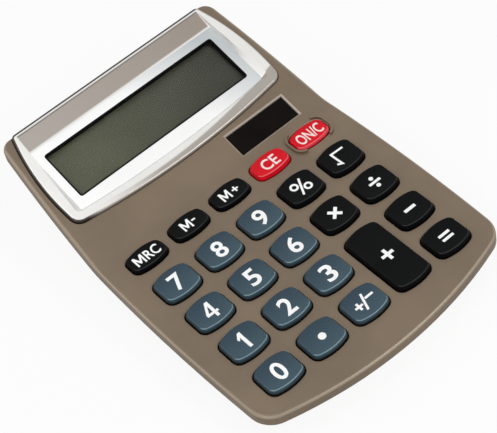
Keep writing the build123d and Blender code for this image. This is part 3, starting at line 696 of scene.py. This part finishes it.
class Kind(Enum):
    """The four kinds of key cap: length in the middle and rise over the deck, in millimetres."""

    DIGIT = (12.7, 2.0)
    TALL = (29.2, 2.0)
    FUNCTION = (9.2, 1.7)
    CLEAR = (9.2, 1.1)

    def top(self, up: np.ndarray) -> np.ndarray:
        """Height of the dished top over the deck: rise - depth + R - sqrt(R squared - up squared).

        Args:
            up: Distance from the key's middle up the deck.

        Returns:
            The height, in millimetres.
        """
        length, rise = self.value
        radius = ((length / 2 + DISH_MARGIN) ** 2 + DISH_DEPTH**2) / (2 * DISH_DEPTH)
        return rise - DISH_DEPTH + radius - np.sqrt(radius**2 - up**2)


@dataclass(frozen=True)
class Stroke:
    """A line of ink of one width along a bent path, in the legend's own units."""

    path: tuple[tuple[float, float], ...]
    width: float

    def outline(self) -> np.ndarray:
        """Offset the path to both sides by half the width, square to it, mitred at its corners.

        Returns:
            The closed outline, one row a corner.
        """
        points = np.array(self.path, float)
        runs = np.diff(points, axis=0)
        runs /= np.linalg.norm(runs, axis=1)[:, None]
        sides = np.stack([-runs[:, 1], runs[:, 0]], 1)
        first = np.vstack([sides[:1], sides])
        last = np.vstack([sides, sides[-1:]])
        mitre = first + last
        mitre /= (mitre * first).sum(1)[:, None]
        reach = mitre * self.width / 2
        return np.vstack([points - reach, (points + reach)[::-1]])


def ring(radius: float, x: float, y: float, count: int = 40) -> np.ndarray:
    """Points round a circle: centre + radius times cosine and sine of the angle.

    Args:
        radius: The circle's radius.
        x: Its centre across.
        y: Its centre up.
        count: How many points.

    Returns:
        The points, one row each.
    """
    angle = np.linspace(0, 2 * math.pi, count, endpoint=False)
    return np.stack([x + radius * np.cos(angle), y + radius * np.sin(angle)], 1)


def bar(x: float, y: float, length: float, width: float, turn: float = 0.0) -> np.ndarray:
    """The outline of a straight bar round a centre, turned by an angle in degrees."""
    reach = Vector((math.cos(math.radians(turn)), math.sin(math.radians(turn)))) * length / 2
    return Stroke(((x - reach.x, y - reach.y), (x + reach.x, y + reach.y)), width).outline()


@dataclass(frozen=True)
class Sign:
    """A legend drawn as filled outlines round the key's middle, in millimetres."""

    outlines: tuple[np.ndarray, ...]

    def flat(self) -> bpy.types.Mesh:
        """Fill the outlines as one flat mesh.

        Returns:
            The mesh in the XY plane.
        """
        curve = bpy.data.curves.new("sign", "CURVE")
        curve.dimensions = "2D"
        curve.fill_mode = "BOTH"
        curve.extrude = Legend.half_depth
        for outline in self.outlines:
            line = curve.splines.new("POLY")
            line.points.add(len(outline) - 1)
            flat = np.hstack([outline, np.zeros((len(outline), 1)), np.ones((len(outline), 1))])
            line.points.foreach_set("co", flat.ravel())
            line.use_cyclic_u = True
        return meshed(curve)


def meshed(curve: bpy.types.Curve) -> bpy.types.Mesh:
    """Turn a curve or text into a mesh.

    Args:
        curve: The curve's data, which is removed.

    Returns:
        Its mesh.
    """
    holder = bpy.data.objects.new("holder", curve)
    bpy.context.scene.collection.objects.link(holder)
    bpy.context.view_layer.update()
    settled = holder.evaluated_get(bpy.context.evaluated_depsgraph_get())
    mesh = bpy.data.meshes.new_from_object(settled)
    bpy.data.objects.remove(holder)
    bpy.data.curves.remove(curve)
    return mesh


@dataclass(frozen=True)
class Words:
    """A legend set in plain letters or digits, in millimetres."""

    text: str
    height: float
    width: float
    heavy: float = 0.2
    x: float = 0.0
    y: float = 0.0

    cap_share = 0.7
    curve_steps = 6

    def flat(self) -> bpy.types.Mesh:
        """Set the text as one flat mesh of the given size, centred on its place.

        A height and a width below 0 turn it half round.

        Returns:
            The mesh in the XY plane.
        """
        curve = bpy.data.curves.new("words", "FONT")
        curve.body = self.text
        curve.size = abs(self.height) / self.cap_share
        curve.offset = self.heavy
        curve.extrude = Legend.half_depth
        curve.resolution_u = self.curve_steps
        mesh = meshed(curve)
        points = read_points(mesh)
        low, high = points.min(0), points.max(0)
        scale = np.array([self.width / (high[0] - low[0]), self.height / (high[1] - low[1]), 1.0])
        points = (points - (low + high) / 2) * scale + np.array([self.x, self.y, 0.0])
        mesh.vertices.foreach_set("co", points.astype(np.float32).ravel())
        return mesh


def shown(mesh: bpy.types.Mesh, material: bpy.types.Material) -> bpy.types.Object:
    """Put a mesh into the scene under its own name, in one material."""
    piece = bpy.data.objects.new(mesh.name, mesh)
    bpy.context.scene.collection.objects.link(piece)
    piece.data.materials.append(material)
    return piece


def read_points(mesh: bpy.types.Mesh) -> np.ndarray:
    """The mesh's corners, one row each."""
    points = np.zeros(len(mesh.vertices) * 3, np.float32)
    mesh.vertices.foreach_get("co", points)
    return points.reshape(-1, 3).astype(float)


@dataclass(frozen=True)
class Legend:
    """The white marking on one key, printed on its dished top."""

    key: str
    across: float
    up: float
    kind: Kind
    parts: tuple[object, ...]
    ink: Finish = INK_WHITE

    half_depth = 0.05
    proud = 0.03
    band = 0.5
    reach = 8.0
    merge = 1e-4
    lift = -0.2

    def build(self) -> None:
        """Cut the flat marking into bands up the key and bend them onto its top.

        Each corner keeps its place across and up, and its height is that of the
        dished top plus its own small depth. The piece rides on its key.
        """
        joined = bmesh.new()
        for part in self.parts:
            joined.from_mesh(part.flat())
        bmesh.ops.remove_doubles(joined, verts=joined.verts, dist=self.merge)
        for height in np.arange(-self.reach, self.reach, self.band):
            bmesh.ops.bisect_plane(
                joined,
                geom=joined.verts[:] + joined.edges[:] + joined.faces[:],
                plane_co=(0, float(height), 0),
                plane_no=(0, 1, 0),
            )
        bmesh.ops.recalc_face_normals(joined, faces=joined.faces)
        mesh = bpy.data.meshes.new("legend_" + self.key)
        joined.to_mesh(mesh)
        joined.free()
        points = read_points(mesh)
        up = points[:, 1] + self.lift
        out = self.kind.top(up) + self.proud - self.half_depth + points[:, 2]
        placed = KEYBOARD.settle(np.stack([points[:, 0] + self.across, up + self.up, out], 1))
        mesh.vertices.foreach_set("co", placed.astype(np.float32).ravel())
        mesh.update()
        piece = shown(mesh, self.ink.material("ink_" + self.key))
        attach(piece, "key_" + self.key)
        log.info("legend_%s: %d corners", self.key, len(mesh.vertices))


@dataclass
class Keypad:
    """The markings of all keys, by column from the middle and row from the back."""

    column_pitch: float = 18.0
    row_pitch: float = 16.5
    digit_row: float = -25.0
    function_row: float = -9.1
    digit_height: float = 7.0
    digit_width: float = 4.4
    word_height: float = 4.2
    pen: float = 1.2
    heavy_pen: float = 0.2
    word_pen: float = 0.1
    clear_grown: float = 1.15
    middle_column: int = 2

    def digit(self, text: str) -> tuple[Words, ...]:
        """A digit's marking; a 9 is a 6 turned half round."""
        if text == "9":
            return (Words("6", -self.digit_height, -self.digit_width, self.heavy_pen),)
        return (Words(text, self.digit_height, self.digit_width, self.heavy_pen),)

    def word(self, text: str, width: float, x: float = 0.0, grown: float = 1.0) -> Words:
        """Letters of a function key's marking."""
        return Words(text, self.word_height * grown, width, heavy=self.word_pen, x=x)

    def one(self) -> Sign:
        """The digit 1: an upright stem with a short flag."""
        half, right, left = self.digit_height / 2, 0.95, -0.25
        flag = ((-1.5, half * 0.42), (-0.1, half * 0.97), (right, half))
        foot = ((right, -half), (left, -half), (left, half * 0.46), (-1.1, half * 0.14))
        return Sign((np.array((*flag, *foot), float),))

    def four(self) -> Sign:
        """The digit 4: a stem, a bar and a slanted stroke round an open triangle."""
        half, left, right, low, high = self.digit_height / 2, 0.3, 1.4, -1.9, -0.95
        stem = ((left, low), (left, -half), (right, -half), (right, low))
        arm = ((2.25, low), (2.25, high), (right, high), (right, half))
        slant = ((0.25, half), (-2.2, high + 0.1), (-2.2, low))
        counter = ((left, high), (left, 1.9), (-1.15, high))
        return Sign((np.array((*stem, *arm, *slant), float), np.array(counter, float)))

    def letter_m(self, x: float) -> np.ndarray:
        """The letter M as one outline round a place across.

        Args:
            x: Its middle.

        Returns:
            The outline, in shares of its width and height carried to millimetres.
        """
        left = ((0, 0), (0, 1), (0.22, 1), (0.5, 0.45))
        right = ((0.78, 1), (1, 1), (1, 0), (0.82, 0), (0.82, 0.68))
        valley = ((0.57, 0.15), (0.43, 0.15), (0.18, 0.68), (0.18, 0))
        size = np.array([3.7, self.word_height])
        return (np.array((*left, *right, *valley)) - 0.5) * size + np.array([x, 0.0])

    def plus(self, reach: float, x: float = 0.0, y: float = 0.0, pen: float = 0.0) -> tuple[np.ndarray, ...]:
        """A cross as one outline, so that no faces overlap."""
        a, b = reach / 2, (pen or self.pen) / 2
        upper = ((a, b), (b, b), (b, a), (-b, a), (-b, b), (-a, b))
        lower = ((-a, -b), (-b, -b), (-b, -a), (b, -a), (b, -b), (a, -b))
        return (np.array((*upper, *lower), float) + np.array([x, y]),)

    def turned(self, outlines: tuple[np.ndarray, ...], angle: float) -> tuple[np.ndarray, ...]:
        """Turn outlines about the middle by an angle in degrees."""
        c, s = math.cos(math.radians(angle)), math.sin(math.radians(angle))
        return tuple(o @ np.array([[c, s], [-s, c]]) for o in outlines)

    def functions(self) -> dict[str, tuple[object, ...]]:
        """The markings of the back row's keys."""
        return {
            "memory_recall": (Sign((self.letter_m(-3.1),)), self.word("RC", 5.6, 2.2)),
            "memory_minus": (Sign((self.letter_m(-1.0), bar(2.2, 0.3, 1.5, 0.65))),),
            "memory_plus": (Sign((self.letter_m(-1.9), *self.plus(2.5, 2.3, 0.0, 0.65))),),
            "clear_entry": (self.word("CE", 6.5, grown=self.clear_grown),),
            "on_clear": (self.word("ON/C", 10.4, grown=self.clear_grown),),
        }

    def signs(self) -> dict[str, Sign]:
        """The markings that are drawn, and not set in digits or letters."""
        root = Stroke(((-3.3, -1.9), (-1.75, -2.8), (-1.95, 2.8), (3.1, 2.6)), 0.8).outline()
        rounds = [ring(size, -1.95 * side, 1.35 * side) for side in (1, -1) for size in (1.6, 0.8)]
        percent = (*rounds, bar(0, 0, 7.4, 0.8, 64))
        change = (*self.plus(3.1, -2.5, -0.3, 0.85), bar(0, 0, 6.6, 0.8, 70), bar(2.7, 0.9, 3.4, 0.85))
        return {
            "percent": Sign(percent),
            "square_root": Sign((root,)),
            "multiply": Sign(self.turned(self.plus(5.0), 45)),
            "divide": Sign((bar(0, 0, 4.8, 1.0), ring(0.8, 0, 1.9), ring(0.8, 0, -1.9))),
            "plus": Sign(self.plus(4.8)),
            "minus": Sign((bar(0, 0, 4.6, self.pen),)),
            "point": Sign((ring(1.35, 0, 0),)),
            "change_sign": Sign(change),
            "equals": Sign((bar(0, 1.0, 4.6, 1.05), bar(0, -1.0, 4.6, 1.05))),
            "1": self.one(),
            "4": self.four(),
        }

    def across(self, column: int) -> float:
        """How far a column lies across from the middle one."""
        return (column - self.middle_column) * self.column_pitch

    def legends(self) -> list[Legend]:
        """List every key's marking.

        Returns:
            The legends, in the order of the rows.
        """
        rows = (
            (Kind.DIGIT, 0, ("7", "8", "9", "percent", "square_root")),
            (Kind.DIGIT, 1, ("4", "5", "6", "multiply", "divide")),
            (Kind.DIGIT, 2, ("1", "2", "3", "", "minus")),
            (Kind.TALL, 2.5, ("", "", "", "plus", "")),
            (Kind.DIGIT, 3, ("0", "point", "change_sign", "", "equals")),
        )
        made = []
        for index, (key, parts) in enumerate(self.functions().items()):
            kind = Kind.CLEAR if key == "on_clear" else Kind.FUNCTION
            ink = INK_ROSE if key in ("clear_entry", "on_clear") else INK_WHITE
            made.append(Legend(key, self.across(index), self.function_row, kind, parts, ink))
        signs = self.signs()
        for kind, row, names in rows:
            up = self.digit_row - row * self.row_pitch
            for index, key in enumerate(names):
                if key:
                    parts = (signs[key],) if key in signs else self.digit(key)
                    made.append(Legend(key, self.across(index), up, kind, parts))
        return made

    def build(self) -> None:
        """Build every legend."""
        for legend in self.legends():
            legend.build()


@dataclass
class WindowShadeLiner:
    """A black liner standing in for the shade on the display opening's walls, from the lens up and over the
    plate's edge.
    """

    width: float = 73.6
    height: float = 19.6
    corner: float = 0.6
    thick: float = 0.12
    gap: float = 0.01
    flange: float = 0.45
    low: float = -2.24
    face: float = -0.595
    high: float = -0.56
    arc_steps: int = 6

    def loop(self, inset: float) -> np.ndarray:
        """Points round a rectangle with rounded corners.

        Each is its corner's middle + radius times cosine and sine of the angle.

        Args:
            inset: How far the loop is drawn in from the opening.

        Returns:
            Rows of across and up, in millimetres.
        """
        radius = self.corner - inset
        turns = np.repeat(np.arange(4), self.arc_steps) * math.pi / 2
        angle = turns + np.tile(np.linspace(0, math.pi / 2, self.arc_steps), 4)
        signs = np.array([(1, 1), (-1, 1), (-1, -1), (1, -1)]).repeat(self.arc_steps, axis=0)
        middles = signs * np.array([self.width / 2 - self.corner, self.height / 2 - self.corner])
        return middles + radius * np.stack([np.cos(angle), np.sin(angle)], 1)

    def build(self) -> None:
        """Carry a small angle section round the loop and close it as a tube."""
        outer = self.loop(self.gap)
        inner = self.loop(self.gap + self.thick)
        wide = self.loop(-self.flange)
        count = len(outer)
        over = ((outer, self.face), (wide, self.face), (wide, self.high), (inner, self.high))
        walls = ((outer, self.low), *over, (inner, self.low))
        rings = [np.hstack([flat, np.full((count, 1), out)]) for flat, out in walls]
        points = np.vstack(rings)
        points[:, 1] += SCREEN_UP
        here = np.arange(len(points)).reshape(-1, count)
        along = np.roll(here, -1, axis=1)
        down = np.roll(here, -1, axis=0)
        faces = np.stack([here, along, np.roll(down, -1, axis=1), down], 2).reshape(-1, 4)
        # A black sheet standing in for the shade on the opening's walls.
        mesh = bpy.data.meshes.new("window_shade_liner")
        mesh.from_pydata(DISPLAY.settle(points).tolist(), [], faces.tolist())
        mesh.update()
        piece = shown(mesh, SHADE_LINER_BLACK.material("shade_liner_black"))
        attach(piece, "case")
        log.info("window_shade_liner: %d corners", len(points))


@dataclass
class Studio:
    """The pale floor, the soft lamps, the white surroundings and the camera."""

    floor_radius: float = 3.0
    floor_hub: float = 0.02
    floor_rings: int = 24
    floor_sides: int = 128
    floor_tones: tuple[str, str] = ("f6f6f5", "fafafa")
    floor_cloud_mm: float = 120.0
    floor_roughness: float = 0.9
    surround_strength: float = 0.36
    floor_glow: float = 0.9
    underside_reach: float = 0.012
    underside_light: float = 0.8
    camera_place: tuple = (-0.194577, -0.333104, 0.437261)
    camera_aim: tuple = (-0.0020574, -0.00192, 0.015)
    camera_roll: float = -14.08696
    focal_pixels: float = 1729.689
    sensor: float = 36.0
    sees: tuple[float, float] = (0.05, 20.0)
    lamps: tuple = (
        ("overhead", (-0.2, 0.15, 1.0), 0.5, 1.5),
        ("left_back", (-0.75, 0.6, 0.55), 0.5, 1.2),
        ("front_right", (0.34, -0.64, 0.68), 0.3, 2.6),
        ("front_left", (-0.67, -0.38, 0.66), 0.25, 1.2),
    )

    def floor(self) -> None:
        """Make the floor, a disc: radius times cosine and sine of the angle, at height zero."""
        sides = self.floor_sides
        angle = np.linspace(0, 2 * math.pi, sides, endpoint=False)
        shares = np.linspace(self.floor_hub, 1.0, self.floor_rings)
        x = np.outer(shares, np.cos(angle)) * self.floor_radius
        y = np.outer(shares, np.sin(angle)) * self.floor_radius
        points = np.stack([x, y, np.zeros_like(x)], 2).reshape(-1, 3)
        here = np.arange(len(points)).reshape(-1, sides)[:-1]
        along = np.roll(here, -1, axis=1)
        quads = np.stack([here, here + sides, along + sides, along], 2).reshape(-1, 4)
        mesh = bpy.data.meshes.new("floor")
        mesh.from_pydata(points.tolist(), [], [*quads.tolist(), list(range(sides))])
        mesh.update()
        shown(mesh, self.floor_material())

    def floor_material(self) -> bpy.types.Material:
        """A white floor, clear from below, that lights the underside.

        The camera sees it nearly without shadow, and it glows towards what is
        close above it, so that the underside shows.

        Returns:
            The material.
        """
        graph = Graph("floor_white")
        low, high = (colour(tone) for tone in self.floor_tones)
        tone = graph.mix(graph.noise(self.floor_cloud_mm), low, high)
        graph.link(tone, graph.shader.inputs["Base Color"])
        graph.shader.inputs["Roughness"].default_value = self.floor_roughness
        graph.shader.inputs["Specular IOR Level"].default_value = 0.0
        glow = graph.add("ShaderNodeEmission")
        path = graph.add("ShaderNodeLightPath")
        seen = graph.math("MULTIPLY", path.outputs["Is Camera Ray"], self.floor_glow)
        lit = graph.cover(seen, graph.shader.outputs["BSDF"], glow.outputs["Emission"])
        near = graph.math("LESS_THAN", path.outputs["Ray Length"], self.underside_reach)
        under = graph.math("MULTIPLY", path.outputs["Is Diffuse Ray"], near)
        soft = graph.add("ShaderNodeEmission")
        soft.inputs["Strength"].default_value = self.underside_light
        above = graph.cover(under, lit, soft.outputs["Emission"])
        clear = graph.add("ShaderNodeBsdfTransparent")
        side = graph.add("ShaderNodeNewGeometry")
        both = graph.cover(side.outputs["Backfacing"], above, clear.outputs["BSDF"])
        graph.link(both, graph.output.inputs["Surface"])
        return graph.material

    def surround(self) -> None:
        """White to the camera, to gloss and to glass, and a softer grey as light."""
        world = bpy.data.worlds.new("studio")
        bpy.context.scene.world = world
        world.use_nodes = True
        nodes = Nodes(world.node_tree)
        soft = nodes.add("ShaderNodeBackground")
        soft.inputs["Strength"].default_value = self.surround_strength
        white = nodes.add("ShaderNodeBackground")
        for light in (soft, white):
            light.inputs["Color"].default_value = (1, 1, 1, 1)
        path = nodes.add("ShaderNodeLightPath")
        seen = nodes.math("MAXIMUM", path.outputs["Is Camera Ray"], path.outputs["Is Glossy Ray"])
        seen = nodes.math("MAXIMUM", seen, path.outputs["Is Transmission Ray"])
        mixed = nodes.cover(seen, soft.outputs["Background"], white.outputs["Background"])
        output = nodes.add("ShaderNodeOutputWorld")
        nodes.link(mixed, output.inputs["Surface"])

    def lamp(self, name: str, place: tuple, size: float, power: float) -> None:
        """Add a square soft lamp that faces the object.

        Args:
            name: The lamp's name.
            place: Where it stands, in metres.
            size: Its side, in metres.
            power: Its power, in watts.
        """
        light = bpy.data.lights.new(name, "AREA")
        light.size = size
        light.energy = power
        holder = bpy.data.objects.new(name, light)
        holder.location = place
        holder.rotation_euler = (-Vector(place)).to_track_quat("-Z", "Y").to_euler()
        bpy.context.scene.collection.objects.link(holder)

    def camera(self) -> None:
        """Stand the camera where the photograph's perspective puts it."""
        data = bpy.data.cameras.new("camera")
        data.sensor_width = self.sensor
        data.lens = self.focal_pixels / IMAGE_WIDTH * self.sensor
        data.clip_start, data.clip_end = self.sees
        holder = bpy.data.objects.new("camera", data)
        place = Vector(self.camera_place)
        look = (Vector(self.camera_aim) - place).to_track_quat("-Z", "Y")
        roll = Euler((0, 0, math.radians(self.camera_roll))).to_quaternion()
        holder.location = place
        holder.rotation_mode = "QUATERNION"
        holder.rotation_quaternion = look @ roll
        bpy.context.scene.collection.objects.link(holder)
        bpy.context.scene.camera = holder

    def build(self) -> None:
        """Set up the floor, the surroundings, the lamps and the camera."""
        self.floor()
        self.surround()
        for lamp in self.lamps:
            self.lamp(*lamp)
        self.camera()
        bpy.context.scene.view_settings.view_transform = "Standard"
        log.info("studio: floor, surroundings, %d lamps and camera", len(self.lamps))


def main() -> None:
    """Build the sub-assemblies in order."""
    Studio().build()
    CadDressing().build()
    Keypad().build()
    WindowShadeLiner().build()


if __name__ == "__main__":
    main()
